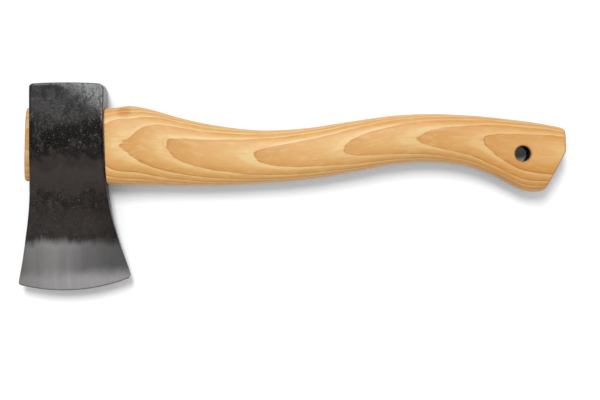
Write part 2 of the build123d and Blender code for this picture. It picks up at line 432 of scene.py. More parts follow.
def mix_colours(tree, share, under, over, blend="MIX"):
    """A Mix node on colours."""
    node = add_node(tree, "ShaderNodeMix", data_type="RGBA", blend_type=blend)
    fill(tree, (node.inputs[0], node.inputs[6], node.inputs[7]), (share, under, over))
    return node.outputs[2]


def speckle(tree, vector, scale, detail=2.0, rough=0.5, stretch=None):
    """A Noise texture's value, on coordinates that may be stretched first."""
    if stretch:
        mapping = add_node(tree, "ShaderNodeMapping")
        mapping.inputs["Scale"].default_value = stretch
        link(tree, vector, mapping.inputs["Vector"])
        vector = mapping.outputs["Vector"]
    node = add_node(tree, "ShaderNodeTexNoise")
    node.inputs["Scale"].default_value = scale
    node.inputs["Detail"].default_value = detail
    node.inputs["Roughness"].default_value = rough
    link(tree, vector, node.inputs["Vector"])
    return node.outputs["Fac"]


def stray(tree, value, speckles, reach):
    """A value led astray by a noise, over a reach from lowest to highest."""
    offset = calculate(tree, "MULTIPLY_ADD", speckles, reach, -reach / 2)
    return calculate(tree, "ADD", value, offset)


def parts_of(tree, vector):
    """The x, y and z of a vector."""
    node = add_node(tree, "ShaderNodeSeparateXYZ")
    link(tree, vector, node.inputs[0])
    return node.outputs


def vector_of(tree, *parts):
    """A vector of an x, a y and perhaps a z."""
    node = add_node(tree, "ShaderNodeCombineXYZ")
    fill(tree, node.inputs, parts)
    return node.outputs[0]


def facing_of(tree):
    """The x, y and z of the way a surface faces."""
    return parts_of(tree, add_node(tree, "ShaderNodeNewGeometry").outputs["Normal"])


def distance_to(tree, far, high, centre):
    """How far a place is from a centre, both seen on the flat of the hatchet."""
    node = add_node(tree, "ShaderNodeVectorMath", operation="DISTANCE")
    link(tree, vector_of(tree, far, high), node.inputs[0])
    node.inputs[1].default_value = (*centre, 0)
    return node.outputs["Value"]


def emboss(tree, shader, height, strength, distance):
    """Relief from a height, in metres at its strongest."""
    node = add_node(tree, "ShaderNodeBump")
    node.inputs["Strength"].default_value = strength
    node.inputs["Distance"].default_value = distance
    link(tree, height, node.inputs["Height"])
    link(tree, node.outputs["Normal"], shader.inputs["Normal"])


def new_finish(name, colour, roughness, metallic=0.0):
    """A material with its Principled shader, and coordinates in millimetres from the eye."""
    material = bpy.data.materials.new(name)
    material.use_nodes = True
    material.diffuse_color = (*colour, 1)
    tree = material.node_tree
    shader = tree.nodes["Principled BSDF"]
    shader.inputs["Base Color"].default_value = (*colour, 1)
    shader.inputs["Roughness"].default_value = roughness
    shader.inputs["Metallic"].default_value = metallic
    place = add_node(tree, "ShaderNodeTexCoord")
    centre = add_node(tree, "ShaderNodeMapping")
    centre.inputs["Location"].default_value = EYE * -1000
    centre.inputs["Scale"].default_value = (1000, 1000, 1000)
    link(tree, place.outputs["Object"], centre.inputs["Vector"])
    return material, tree, shader, centre.outputs["Vector"]


def give_finish(piece, material):
    """A material over the whole of a piece."""
    piece.data.materials.clear()
    piece.data.materials.append(material)


def wood_fibre_group():
    """Fibres and pores of hickory: where they lie, and how high they stand."""
    group = bpy.data.node_groups.new("wood_fibre", "ShaderNodeTree")
    group.interface.new_socket("Place", in_out="INPUT", socket_type="NodeSocketVector")
    for name in ("Fibre", "Pores", "Height"):
        group.interface.new_socket(name, in_out="OUTPUT", socket_type="NodeSocketFloat")
    entry = group.nodes.new("NodeGroupInput")
    leaving = group.nodes.new("NodeGroupOutput")
    fibre = speckle(group, entry.outputs["Place"], 1.0, 3.0, 0.6, (0.035, 1.5, 1.5))
    pores = speckle(group, entry.outputs["Place"], 1.0, 2.0, 0.6, (0.11, 3.2, 3.2))
    pores = ease(group, pores, 0.62, 0.74)
    link(group, fibre, leaving.inputs["Fibre"])
    link(group, pores, leaving.inputs["Pores"])
    link(group, calculate(group, "SUBTRACT", fibre, pores), leaving.inputs["Height"])
    return group


WOOD_FIBRE = wood_fibre_group()


def fibres_at(tree, place):
    """The fibre, the pores and the relief of wood that is sawn along x."""
    node = add_node(tree, "ShaderNodeGroup", node_tree=WOOD_FIBRE)
    link(tree, place, node.inputs["Place"])
    return node.outputs["Fibre"], node.outputs["Pores"], node.outputs["Height"]


LACQUER = 0.08  # weight of the coat
PALE = (0.855, 0.60, 0.276)
TAN = (0.75, 0.428, 0.146)
ROSY = (0.775, 0.412, 0.154)
ORANGE = (0.655, 0.32, 0.085)
DEEP = (0.44, 0.175, 0.045)
PORE = (0.36, 0.17, 0.06)
HEARTWOOD = (0.93, 0.85, 0.74)
BELLY_SHADE = (0.93, 0.84, 0.68)
STAIN = (0.78, 0.6, 0.36)
STAIN_AT = (40.5, 22.3)
STAIN_SQUEEZE = 0.8  # along the stave, so that it shows longer than high
END_GRAIN = (0.46, 0.235, 0.085)
BORE_SHADE = (0.008, 0.005, 0.004)
NEUTRAL = (0.36, 0.36, 0.36)
# One season's growth, from the dense late wood of the year before
SEASON_TONES = [
    (0.0, ORANGE), (0.12, (0.68, 0.34, 0.094)), (0.34, (0.72, 0.388, 0.122)), (0.55, TAN),
    (0.72, (0.785, 0.482, 0.18)), (0.86, PALE), (0.985, PALE), (1.0, ORANGE),
]
# Growth rings: a share of the grain's length, then how far they have climbed
# there through the layers of the tree, or where the middle of their tongues lies.
GRAIN_START, GRAIN_LENGTH = -30, 380
FIRST_LAYER, LAYERS = -6.0, 9.0
MIDDLE_LOW, MIDDLE_SPAN = -12, 20
LAYER_BOW = -0.0016
LAYER_TILT = 0.45
RING_CLIMB = [
    (0.0, 0.09), (0.126, 0.213), (0.146, 0.243), (0.176, 0.292), (0.197, 0.301), (0.214, 0.33),
    (0.268, 0.43), (0.421, 0.563), (0.575, 0.645), (0.592, 0.659), (0.729, 0.753), (0.832, 0.822),
    (0.85, 0.847), (1.0, 0.95),
]
RING_MIDDLE = [
    (0.0, 0.6), (0.176, 0.6), (0.197, 0.56), (0.22, 0.64), (0.268, 0.53), (0.368, 0.2),
    (0.421, 0.15), (0.534, 0.3), (0.592, 0.42), (0.679, 0.7), (0.729, 0.78), (0.789, 0.77),
    (0.85, 0.69), (0.921, 0.54), (1.0, 0.46),
]

hickory, tree, shader, place = new_finish("handle_hickory", TAN, 0.42)
shader.inputs["Coat Weight"].default_value = LACQUER
shader.inputs["Coat Roughness"].default_value = 0.3
shader.inputs["Specular IOR Level"].default_value = 0.3
far, high, up = parts_of(tree, place)
# The layers climb along the stave and cut its cheeks in long tongues that
# point to the head, with their middles along the S of the handle.
share = calculate(tree, "DIVIDE", calculate(tree, "ADD", far, -GRAIN_START), GRAIN_LENGTH)
climb = curve_through(tree, share, RING_CLIMB)
layer = calculate(tree, "MULTIPLY_ADD", climb, LAYERS, FIRST_LAYER)
middle = curve_through(tree, share, RING_MIDDLE)
middle = calculate(tree, "MULTIPLY_ADD", middle, MIDDLE_SPAN, MIDDLE_LOW)
aside = calculate(tree, "SUBTRACT", high, middle)
bow = calculate(tree, "MULTIPLY", calculate(tree, "MULTIPLY", aside, aside), LAYER_BOW)
layer = calculate(tree, "ADD", layer, bow)
layer = calculate(tree, "ADD", layer, calculate(tree, "MULTIPLY", up, LAYER_TILT))
grain_place = vector_of(tree, far, aside, up)
sway = speckle(tree, grain_place, 1.0, 2.0, 0.5, (0.03, 0.09, 0.09))
ripple = speckle(tree, grain_place, 1.0, 2.0, 0.5, (0.12, 0.4, 0.4))
layer = stray(tree, stray(tree, layer, sway, 0.34), ripple, 0.044)
season = calculate(tree, "FRACT", layer)
colour = colour_steps(tree, season, SEASON_TONES)
cloudy = speckle(tree, grain_place, 1.0, 2.0, 0.5, (0.05, 0.16, 0.16))
colour = mix_colours(tree, ease(tree, cloudy, 0.45, 0.7, 0.0, 0.55), colour, ROSY)
# The dark line of late wood is stronger on the belly.
line = calculate(
    tree, "MULTIPLY", ease(tree, season, 0.05, 0.0), ease(tree, sway, 0.35, 0.6, 0.15, 0.7)
)
belly_line = calculate(
    tree, "MULTIPLY", ease(tree, season, 0.2, 0.05), ease(tree, aside, -7, -14, 0.0, 0.45)
)
colour = mix_colours(tree, calculate(tree, "MAXIMUM", line, belly_line), colour, DEEP)
fibre, pores, fibre_height = fibres_at(tree, grain_place)
colour = mix_colours(tree, ease(tree, fibre, 0.52, 0.75, 0.0, 0.35), colour, ORANGE)
colour = mix_colours(tree, ease(tree, fibre, 0.46, 0.28, 0.0, 0.3), colour, PALE)
colour = mix_colours(tree, ease(tree, ripple, 0.52, 0.68, 0.0, 0.22), colour, ORANGE)
colour = mix_colours(tree, ease(tree, ripple, 0.48, 0.32, 0.0, 0.25), colour, PALE)
# Towards the butt the stave turns to redder heartwood.
heart = ease(tree, far, 190, 330, 0.0, 0.9)
colour = mix_colours(tree, heart, colour, HEARTWOOD, "MULTIPLY")
# The belly, the side turned from the soft box, is darkened and reddened with painted shade.
belly = ease(tree, aside, -5, -17, 0.0, 0.6)
colour = mix_colours(tree, belly, colour, BELLY_SHADE, "MULTIPLY")
# A mineral stain lies by the shoulder.
stain_far = calculate(tree, "MULTIPLY", far, STAIN_SQUEEZE)
from_stain = distance_to(tree, stain_far, high, (STAIN_AT[0] * STAIN_SQUEEZE, STAIN_AT[1]))
stain = ease(tree, stray(tree, from_stain, fibre, 8), 5.6, 2.2, 0.0, 0.8)
colour = mix_colours(tree, stain, colour, STAIN, "MULTIPLY")
pore_share = calculate(tree, "MULTIPLY", pores, ease(tree, season, 0.5, 0.05, 0.12, 0.4))
colour = mix_colours(tree, pore_share, colour, PORE)
# Sawn ends drink the lacquer and darken. A ring round the hole is painted darker.
end_facing = calculate(tree, "ABSOLUTE", facing_of(tree)[0])
end_share = ease(tree, end_facing, 0.2, 0.5, 0.0, 0.75)
end_share = calculate(tree, "MAXIMUM", end_share, ease(tree, far, -24, -27, 0.0, 0.4))
colour = mix_colours(tree, end_share, colour, END_GRAIN)
from_hole = distance_to(tree, far, high, HOLE_AT)
colour = mix_colours(tree, ease(tree, from_hole, 7.4, 5.5, 0.0, 0.5), colour, DEEP)
# The light that the wood throws on the white floor is kept from tinting it.
thrown = add_node(tree, "ShaderNodeLightPath").outputs["Is Diffuse Ray"]
colour = mix_colours(tree, thrown, colour, NEUTRAL)
# The bore itself is bare, and painted near black as the shade inside the hole.
bore = ease(tree, from_hole, 5.4, 5.28)
link(tree, mix_colours(tree, bore, colour, BORE_SHADE), shader.inputs["Base Color"])
bare = calculate(tree, "MULTIPLY_ADD", bore, -LACQUER, LACQUER)
link(tree, bare, shader.inputs["Coat Weight"])
fibre_rough = ease(tree, fibre, 0.3, 0.7, 0.46, 0.38)
link(tree, calculate(tree, "MAXIMUM", fibre_rough, bore), shader.inputs["Roughness"])
emboss(tree, shader, fibre_height, 0.25, 0.00012)
give_finish(handle_piece, hickory)
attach(handle_piece, "root")
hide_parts("handle")

# ---- Head
# The head is one forging of carbon steel, drawn out from a square poll to a
# flared bit. Its forging scale is left on and oiled; only the bit is ground
# bright, and the eye is punched through from toe side to heel side.

# y, x of the toe side, x of the heel side, thickness, radius of the long corners
HEAD_SECTIONS = [
    (-107, -36.5, 49.6, 5.8, 1.6),
    (-98, -34.75, 46.3, 6.1, 1.6),
    (-91, -33.4, 44.2, 6.4, 1.6),
    (-77, -30.95, 39.3, 7.3, 1.7),
    (-64, -29.15, 35.0, 8.6, 1.8),
    (-52, -27.55, 31.6, 10.6, 1.9),
    (-39, -26.3, 29.1, 14.6, 2.0),
    (-25, -25.7, 27.4, 20.6, 2.0),
    (-12, -25.6, 26.9, 25.3, 1.9),
    (2, -25.6, 26.4, 26.4, 1.8),
    (18, -25.6, 25.9, 25.9, 1.7),
    (26, -25.7, 26.2, 25.2, 2.0),
    (34, -25.85, 26.55, 24.3, 2.3),
    (48, -25.85, 26.75, 22.5, 2.4),
]
POLL_MIDDLE = 0.35
POLL_RADIUS = 410.0
POLL_RIM = 1.9
CHEEK_CROWN = 0.35
SIDE_CROWN = 0.12
# The radii of the corners seen on the cheek, at the toe side and the heel side
POLL_CORNERS = (2.2, 4.5)
TIP_CORNERS = (2.0, 3.0)

EDGE_RADIUS = 125.98
EDGE_CENTRE = (-3.0, 23.7)
# Distance in from the edge, half the thickness there
GRIND = [
    (0, 0.07), (1.2, 0.28), (4, 0.84), (10, 1.74), (18, 2.72), (27, 3.52), (36, 4.1), (46, 6.6),
    (62, 12.5), (150, 40),
]
BLEND = 0.12  # how softly the grind runs out in the cheek
DENT, FINE_DENT = 0.16, 0.05
DENT_DEPTH = 0.17  # that the hammered cheek lies below the sizes above

# The rings of the head: down from the poll's face, then in step with the edge.
SWEPT = 45.0  # how far in from the edge its sweep is kept
SWEPT_RADIUS = EDGE_RADIUS - SWEPT
POLL_RUN = EYE_TO_POLL - (EDGE_CENTRE[1] - SWEPT_RADIUS)
CHEEK_RINGS = 82
below_poll = [0, 0.08, 0.3, 0.7, 1.2, 1.9, 2.7, 3.6, 4.6]
below_poll += [4.6 + (POLL_RUN - 4.6) * step / CHEEK_RINGS for step in range(1, CHEEK_RINGS + 1)]
above_edge = [SWEPT - 1.1 * step for step in range(1, 38)]
above_edge += [3.5, 2.7, 2.0, 1.4, 0.9, 0.5, 0.2, 0.05, 0]
HEAD_RINGS = [("poll", far) for far in below_poll] + [("edge", far) for far in above_edge]
COLUMNS, LEVELS = 64, 8
CORNER_ROWS = 2  # of the cheek, and as many of the side, round a long corner


def eased(radius, far):
    """How far a rounded corner of this radius has drawn in, at a distance from its end."""
    return radius - math.sqrt(radius**2 - (radius - far) ** 2) if far < radius else 0.0


def head_y(ring, x):
    """The height of a ring at x: from the poll's crown to the sweep of the edge."""
    kind, far = ring
    if kind == "edge":
        return EDGE_CENTRE[1] - math.sqrt((EDGE_RADIUS - far) ** 2 - (x - EDGE_CENTRE[0]) ** 2)
    share = far / POLL_RUN
    crown = math.sqrt(POLL_RADIUS**2 - (x - POLL_MIDDLE) ** 2) - POLL_RADIUS
    sweep = SWEPT_RADIUS - math.sqrt(SWEPT_RADIUS**2 - (x - EDGE_CENTRE[0]) ** 2)
    return EYE_TO_POLL - far + (1 - share) ** 2 * crown + share**2 * sweep


def head_side(ring, which):
    """x and y of a ring's end, at the toe side (0) or the heel side (1)."""
    kind, far = ring
    inward = eased((POLL_CORNERS if kind == "poll" else TIP_CORNERS)[which], far)
    x = (-26, 27)[which]
    for _ in range(8):
        y = head_y(ring, x)
        x = between(HEAD_SECTIONS, y)[which]
        x += inward if which == 0 else -inward
    return x, y


def from_edge(x, y):
    """How far a place lies in from the cutting edge."""
    return max(EDGE_RADIUS - math.hypot(x - EDGE_CENTRE[0], y - EDGE_CENTRE[1]), 0)


def long_corner(x, y):
    """The radius of a long corner at a place on it, smaller where the bit is thin."""
    thickness, radius = between(HEAD_SECTIONS, y)[2:]
    half = min(thickness / 2 - CHEEK_CROWN, between(GRIND, from_edge(x, y))[0] - 0.1)
    return max(min(radius, 0.85 * half), 0.02)


def dents(x, y, side):
    """The unevenness that the hammer and the dies leave, in millimetres."""
    spot = Vector((x * 0.055, y * 0.055, side * 3.1))
    fine = Vector((x * 0.16, y * 0.16, side * 5.7))
    return DENT * noise.noise(spot) + FINE_DENT * noise.noise(fine)


def cheek_height(ring, x, y, centred, side):
    """Half the thickness at a place: the crowned blank, ground away towards the edge."""
    deep = from_edge(x, y)
    blank = between(HEAD_SECTIONS, y)[2] / 2 - CHEEK_CROWN * centred**2
    ground = between(GRIND, deep)[0]
    height = min(blank, ground)
    if abs(blank - ground) < 2:
        height = -BLEND * math.log(math.exp(-blank / BLEND) + math.exp(-ground / BLEND))
    if ring[0] == "poll":
        height -= eased(POLL_RIM, ring[1])
    worked = min(max((deep - 30) / 12, 0), 1)
    return max(height + (dents(x, y, side) - DENT_DEPTH) * worked, 0.05)


def divided_cube(parts):
    """A cube with its faces divided in so many parts along x, y and z."""
    bm = bmesh.new()
    bmesh.ops.create_cube(bm, size=2)
    for axis, count in enumerate(parts):
        crossing = [
            edge for edge in bm.edges
            if abs(edge.verts[0].co[axis] - edge.verts[1].co[axis]) > 0.001
        ]
        bmesh.ops.subdivide_edges(bm, edges=crossing, cuts=count - 1, use_grid_fill=True)
    return bm


head_bm = divided_cube((COLUMNS, len(HEAD_RINGS) - 1, LEVELS))
for vert in head_bm.verts:
    column = round((vert.co.x + 1) / 2 * COLUMNS)
    ring = HEAD_RINGS[round((1 - vert.co.y) / 2 * (len(HEAD_RINGS) - 1))]
    level = round((vert.co.z + 1) / 2 * LEVELS) - LEVELS // 2
    toe, heel = head_side(ring, 0), head_side(ring, 1)
    width = heel[0] - toe[0]
    by_heel = column > COLUMNS // 2
    columns_in = COLUMNS - column if by_heel else column
    rows_down = LEVELS // 2 - abs(level)
    # A long corner turns from the side to the cheek over twice CORNER_ROWS steps.
    corner = long_corner(*(heel if by_heel else toe))
    steps_round = CORNER_ROWS + (-rows_down if rows_down else columns_in)
    turn = math.pi / 4 * steps_round / CORNER_ROWS
    up_side = abs(level) / (LEVELS / 2 - CORNER_ROWS)
    if columns_in > CORNER_ROWS:
        share = (column - CORNER_ROWS) / (COLUMNS - 2 * CORNER_ROWS)
        x = toe[0] + corner + (width - 2 * corner) * share
    else:
        inward = corner * (1 - math.cos(turn))
        if rows_down > CORNER_ROWS:
            inward = -SIDE_CROWN * (1 - up_side**2)
        x = heel[0] - inward if by_heel else toe[0] + inward
    y = head_y(ring, x)
    centred = (x - (toe[0] + heel[0]) / 2) / (width / 2)
    height = cheek_height(ring, x, y, centred, 1 if level > 0 else -1)
    dropped = corner * (1 - math.sin(turn))
    if rows_down > CORNER_ROWS:
        z = (height - corner) * up_side
    elif rows_down:
        z = height - dropped
    elif columns_in > CORNER_ROWS:
        z = height
    else:
        z = max(height - dropped, 0.3 * height)
    vert.co = from_eye(x, y, math.copysign(z, level))
head_piece = finish_mesh(head_bm, "head_forging")

# The eye is a little flared at both mouths by the drift.
EYE_CLEARANCE = 0.08  # round the tongue
EYE_FLARE = [
    (-36, 1.2), (-27.2, 0.75), (-26.0, 0.38), (-25.2, 0.12), (-24.0, 0), (-16, 0), (-8, 0), (0, 0),
    (8, 0), (16, 0), (23.5, 0), (24.8, 0.12), (25.8, 0.38), (27, 0.75), (36, 1.2),
]


def eye_place(ring, turn):
    """Where a point of a ring lies on the wall of the eye."""
    x, flare = ring
    section = tongue_section(x)
    return from_eye(x, *oval_place(turn, *section, inset=-flare - EYE_CLEARANCE))


eye_bm = bmesh.new()
toe_mouth, heel_mouth, turn_layer = draw_out(eye_bm, 96, EYE_FLARE, eye_place)
close_end(eye_bm, toe_mouth, turn_layer)
close_end(eye_bm, heel_mouth, turn_layer)
eye_bm.verts.layers.float.remove(turn_layer)
cut_away(head_piece, finish_mesh(eye_bm, "eye_cutter"))

# Tones of the scale and of painted reflection up the cheek, from the bit (0) to the poll (1)
SCALE_START, SCALE_SPAN = -65, 110
SCALE_AND_REFLECTION_TONES = [
    (0.0, (0.030, 0.0262, 0.0246)),
    (0.09, (0.034, 0.0295, 0.0277)),
    (0.17, (0.034, 0.0285, 0.0265)),
    (0.24, (0.030, 0.025, 0.0232)),
    (0.31, (0.042, 0.0355, 0.0325)),
    (0.42, (0.046, 0.039, 0.036)),
    (0.48, (0.034, 0.0285, 0.0265)),
    (0.53, (0.015, 0.0132, 0.0123)),
    (0.60, (0.0085, 0.0075, 0.0068)),
    (0.70, (0.0125, 0.011, 0.010)),
    (0.755, (0.029, 0.0265, 0.0255)),
    (0.80, (0.041, 0.040, 0.040)),
    (0.88, (0.036, 0.035, 0.035)),
    (1.0, (0.035, 0.034, 0.034)),
]
# How broken the scale is there
SCALE_BREAKS = [
    (0.0, 0.45), (0.16, 0.3), (0.22, 0.8), (0.265, 0.75), (0.34, 0.12), (0.48, 0.12),
    (0.54, 0.8), (0.65, 1.0), (0.76, 0.95), (0.84, 0.8), (1.0, 0.7),
]
THIN_SCALE = (0.19, 0.195, 0.195)
CRACK = (0.02, 0.019, 0.019)
DARK_PATCH = (0.007, 0.0065, 0.006)
LIGHT_PATCH = (0.046, 0.041, 0.037)
PIT = (0.012, 0.011, 0.011)
FLECK = (0.17, 0.165, 0.16)
SPARK = (0.26, 0.26, 0.25)
HEEL_DARK = (0.62, 0.58, 0.57)
SHADE_LINE = (0.05, 0.049, 0.049)
SIDE_HIGHLIGHT = (0.28, 0.275, 0.275)
RUBBED_HIGHLIGHT = (0.34, 0.335, 0.33)
# Painted reflection on the ground bit, from toe to heel
BIT_START, BIT_WIDTH = -34, 78
GROUND_REFLECTION_TONES = [
    (0.0, (0.12, 0.117, 0.113)),
    (0.12, (0.16, 0.156, 0.151)),
    (0.3, (0.20, 0.195, 0.19)),
    (0.45, (0.17, 0.165, 0.165)),
    (0.62, (0.115, 0.11, 0.11)),
    (0.85, (0.085, 0.084, 0.083)),
    (1.0, (0.09, 0.09, 0.09)),
]
EDGE_HIGHLIGHT_TONE = (0.30, 0.288, 0.295)
TOE_HIGHLIGHT_TONE = (0.225, 0.22, 0.215)
HONED_LINE = (0.11, 0.105, 0.105)
GROUND_ROUGHNESS = 0.34
# Heights at which the grinding starts and is full, and the same for the painted highlight
# along the edge, over its finer grinding
GRIND_STARTS, GRIND_FULL = -64.3, -72.0
HIGHLIGHT_STARTS, HIGHLIGHT_FULL = -82.0, -92.5


def band(tree, value, rise, full, fade, end):
    """A mask that rises between two values and fades again between two others."""
    return calculate(tree, "MULTIPLY", ease(tree, value, rise, full), ease(tree, value, end, fade))


forged, tree, shader, place = new_finish("head_forged_steel", (0.045, 0.04, 0.038), 0.5, 1.0)
far, high = parts_of(tree, place)[:2]
blotches = speckle(tree, place, 0.09, 3.0, 0.6)
mottle = speckle(tree, place, 0.55, 4.0, 0.68)
crust = speckle(tree, place, 1.3, 4.0, 0.7)
patches = speckle(tree, place, 0.2, 3.0, 0.6, (1.0, 0.6, 1.0))
crackle = speckle(tree, place, 0.34, 3.0, 0.62)
wavy_high = calculate(tree, "ADD", stray(tree, high, blotches, 20), -SCALE_START)
up_cheek = calculate(tree, "DIVIDE", wavy_high, SCALE_SPAN, clamp=True)
# Up the cheek, the dark band across the eye and the lighter poll are painted reflection.
colour = colour_steps(tree, up_cheek, SCALE_AND_REFLECTION_TONES, "EASE")
# The scale has flaked thin on the heel side of the poll, and is cracked there.
thin = calculate(tree, "ADD", calculate(tree, "MULTIPLY", far, 0.9), high)
thin = ease(tree, stray(tree, thin, blotches, 26), 34, 54, 0.0, 0.85)
thin_share = calculate(tree, "MULTIPLY", thin, ease(tree, high, 20, 30))
colour = mix_colours(tree, thin_share, colour, THIN_SCALE)
off_crack = calculate(tree, "ABSOLUTE", calculate(tree, "SUBTRACT", crackle, 0.5))
cracks = ease(tree, off_crack, 0.022, 0.004)
crack_share = calculate(tree, "MULTIPLY", cracks, ease(tree, high, 18, 30, 0.0, 0.8))
colour = mix_colours(tree, crack_share, colour, CRACK)
# Where it is broken it is patched, pitted, gritty and flecked with bare metal.
broken = curve_through(tree, up_cheek, SCALE_BREAKS)
for spots, start, full, most, tone in (
    (patches, 0.52, 0.38, 0.6, DARK_PATCH),
    (patches, 0.52, 0.66, 0.45, LIGHT_PATCH),
    (mottle, 0.50, 0.38, 0.6, PIT),
):
    spot_share = calculate(tree, "MULTIPLY", ease(tree, spots, start, full, 0.0, most), broken)
    colour = mix_colours(tree, spot_share, colour, tone)
grit = ease(tree, crust, 0.36, 0.64, 0.68, 1.32)
gritty = mix_colours(tree, 1.0, colour, grit, "MULTIPLY")
colour = mix_colours(tree, broken, colour, gritty)
for spots, start, full, most, tone in (
    (mottle, 0.56, 0.70, 0.44, FLECK),
    (crust, 0.63, 0.72, 0.6, SPARK),
):
    spot_share = calculate(tree, "MULTIPLY", ease(tree, spots, start, full, 0.0, most), broken)
    colour = mix_colours(tree, spot_share, colour, tone)
# Towards the heel, above the bit, the cheek is darker.
heelward = calculate(tree, "ADD", far, calculate(tree, "MULTIPLY", high, 0.25))
heel_darkening = ease(tree, heelward, -2, 16, 0.0, 0.6)
heel_darkening = calculate(tree, "MULTIPLY", heel_darkening, ease(tree, high, -24, -37))
colour = mix_colours(tree, heel_darkening, colour, HEEL_DARK, "MULTIPLY")
# The sides are painted lighter grey, most towards the poll, as painted highlight.
face_x, face_y = facing_of(tree)[:2]
side_highlight_strength = ease(tree, high, -34, 0, 0.22, 0.7)
side_highlight_share = ease(tree, calculate(tree, "ABSOLUTE", face_x), 0.75, 0.95, 0.0, side_highlight_strength)
colour = mix_colours(tree, side_highlight_share, colour, SIDE_HIGHLIGHT)
# Beside the heel side's long corner, towards the poll, a thin dark line is painted shade.
painted_shade_line = band(tree, face_x, 0.55, 0.68, 0.78, 0.88)
painted_shade_line = calculate(tree, "MULTIPLY", painted_shade_line, ease(tree, high, 12, 20, 0.0, 0.75))
colour = mix_colours(tree, painted_shade_line, colour, SHADE_LINE)
# The heel side's long corner and the poll's rim are painted lighter: painted highlight where they
# are rubbed bare.
rubbed_highlight = band(tree, face_x, 0.22, 0.4, 0.52, 0.66)
rubbed_highlight = calculate(tree, "MULTIPLY", rubbed_highlight, ease(tree, high, 12, 20))
poll_rim_highlight = calculate(tree, "MULTIPLY", band(tree, face_y, 0.2, 0.45, 0.8, 0.95), 0.55)
rubbed_highlight = calculate(tree, "MAXIMUM", rubbed_highlight, poll_rim_highlight)
rubbed_highlight = calculate(tree, "MULTIPLY", rubbed_highlight, ease(tree, mottle, 0.38, 0.6, 0.1, 0.9))
colour = mix_colours(tree, rubbed_highlight, colour, RUBBED_HIGHLIGHT)
# The bit is ground from the edge up to a ragged line, in streaks square to it.
streaks = speckle(tree, place, 1.0, 3.0, 0.6, (0.7, 0.03, 0.3))
broad_streaks = speckle(tree, place, 1.0, 2.0, 0.5, (0.16, 0.02, 0.1))
ragged = stray(tree, stray(tree, high, streaks, 3), broad_streaks, 8)
ground_share = ease(tree, stray(tree, ragged, blotches, 7), GRIND_STARTS, GRIND_FULL)
# Across the bit the tone of the ground steel is painted reflection, lighter towards the toe.
from_toe = calculate(tree, "ADD", far, -BIT_START)
to_heel = calculate(tree, "DIVIDE", from_toe, BIT_WIDTH, clamp=True)
ground = colour_steps(tree, to_heel, GROUND_REFLECTION_TONES, "EASE")
# Along the edge a painted highlight, brighter towards the heel, lies over the finer grinding.
toward_edge = stray(tree, high, blotches, 5)
toward_edge = calculate(
    tree, "ADD", toward_edge, calculate(tree, "MULTIPLY_ADD", far, -0.03, 3.5)
)
edge_highlight = mix_colours(tree, ease(tree, far, -5, -30), EDGE_HIGHLIGHT_TONE, TOE_HIGHLIGHT_TONE)
edge_highlight_share = ease(tree, toward_edge, HIGHLIGHT_STARTS, HIGHLIGHT_FULL)
ground = mix_colours(tree, edge_highlight_share, ground, edge_highlight)
streak_tone = calculate(
    tree, "MULTIPLY",
    ease(tree, streaks, 0.3, 0.7, 0.97, 1.03), ease(tree, broad_streaks, 0.3, 0.7, 0.95, 1.05),
)
ground = mix_colours(tree, 1.0, ground, streak_tone, "MULTIPLY")
inside = calculate(tree, "SUBTRACT", EDGE_RADIUS, distance_to(tree, far, high, EDGE_CENTRE))
ground = mix_colours(tree, ease(tree, inside, 1.0, 0.4), ground, HONED_LINE)
link(tree, mix_colours(tree, ground_share, colour, ground), shader.inputs["Base Color"])
scale_rough = ease(tree, mottle, 0.3, 0.7, 0.42, 0.6)
rough_mix = add_node(tree, "ShaderNodeMix")
fill(
    tree, (rough_mix.inputs[0], rough_mix.inputs[2], rough_mix.inputs[3]),
    (ground_share, scale_rough, GROUND_ROUGHNESS),
)
link(tree, rough_mix.outputs[0], shader.inputs["Roughness"])
crust_height = calculate(tree, "ADD", crust, calculate(tree, "MULTIPLY", mottle, 1.5))
crust_height = calculate(tree, "MULTIPLY", crust_height, broken)
unground = calculate(tree, "SUBTRACT", 1.0, ground_share)
crust_height = calculate(tree, "MULTIPLY", crust_height, unground)
streak_height = calculate(tree, "MULTIPLY", streaks, 0.15)
emboss(tree, shader, calculate(tree, "ADD", crust_height, streak_height), 0.6, 0.0003)
give_finish(head_piece, forged)
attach(head_piece, "root")
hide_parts("head")

# ---- Wooden wedge
# The wooden wedge is split from dry beech, driven into the tongue's saw cut
# until it spreads the tongue in the eye, and sawn off flush.
WEDGE_LENGTH = 33.0
WEDGE_SET_BACK = 0.25  # of its ends from the ends of the eye
SAWN_END = 0.1  # the depth of the end that the saw and the hammer have marked
BRUISE = 0.08
END_PINCH = 0.15  # how much thinner it is there, to each side

wedge_bm = divided_cube((24, 40, 6))
for vert in wedge_bm.verts:
    far = (vert.co.x + 1) / 2 * WEDGE_LENGTH
    at_end = far < SAWN_END
    bruise = BRUISE * noise.noise(vert.co * 2.7) if at_end else 0.0
    long_half = between(EYE_SECTIONS, TONGUE_END + far)[0] / 2 - WEDGE_SET_BACK
    thin_half = WEDGE_HALF - WEDGE_TAPER * far - FIT - (END_PINCH if at_end else 0.0)
    x = TONGUE_END + far + abs(bruise)
    y = vert.co.y * (long_half - eased(TONGUE_ROUND, far))
    vert.co = from_eye(x + out_of_square(x, y), y, thin_half * vert.co.z)
wedge_piece = finish_mesh(wedge_bm, "wedge_wooden")
cut_away(wedge_piece, ring_cutter())

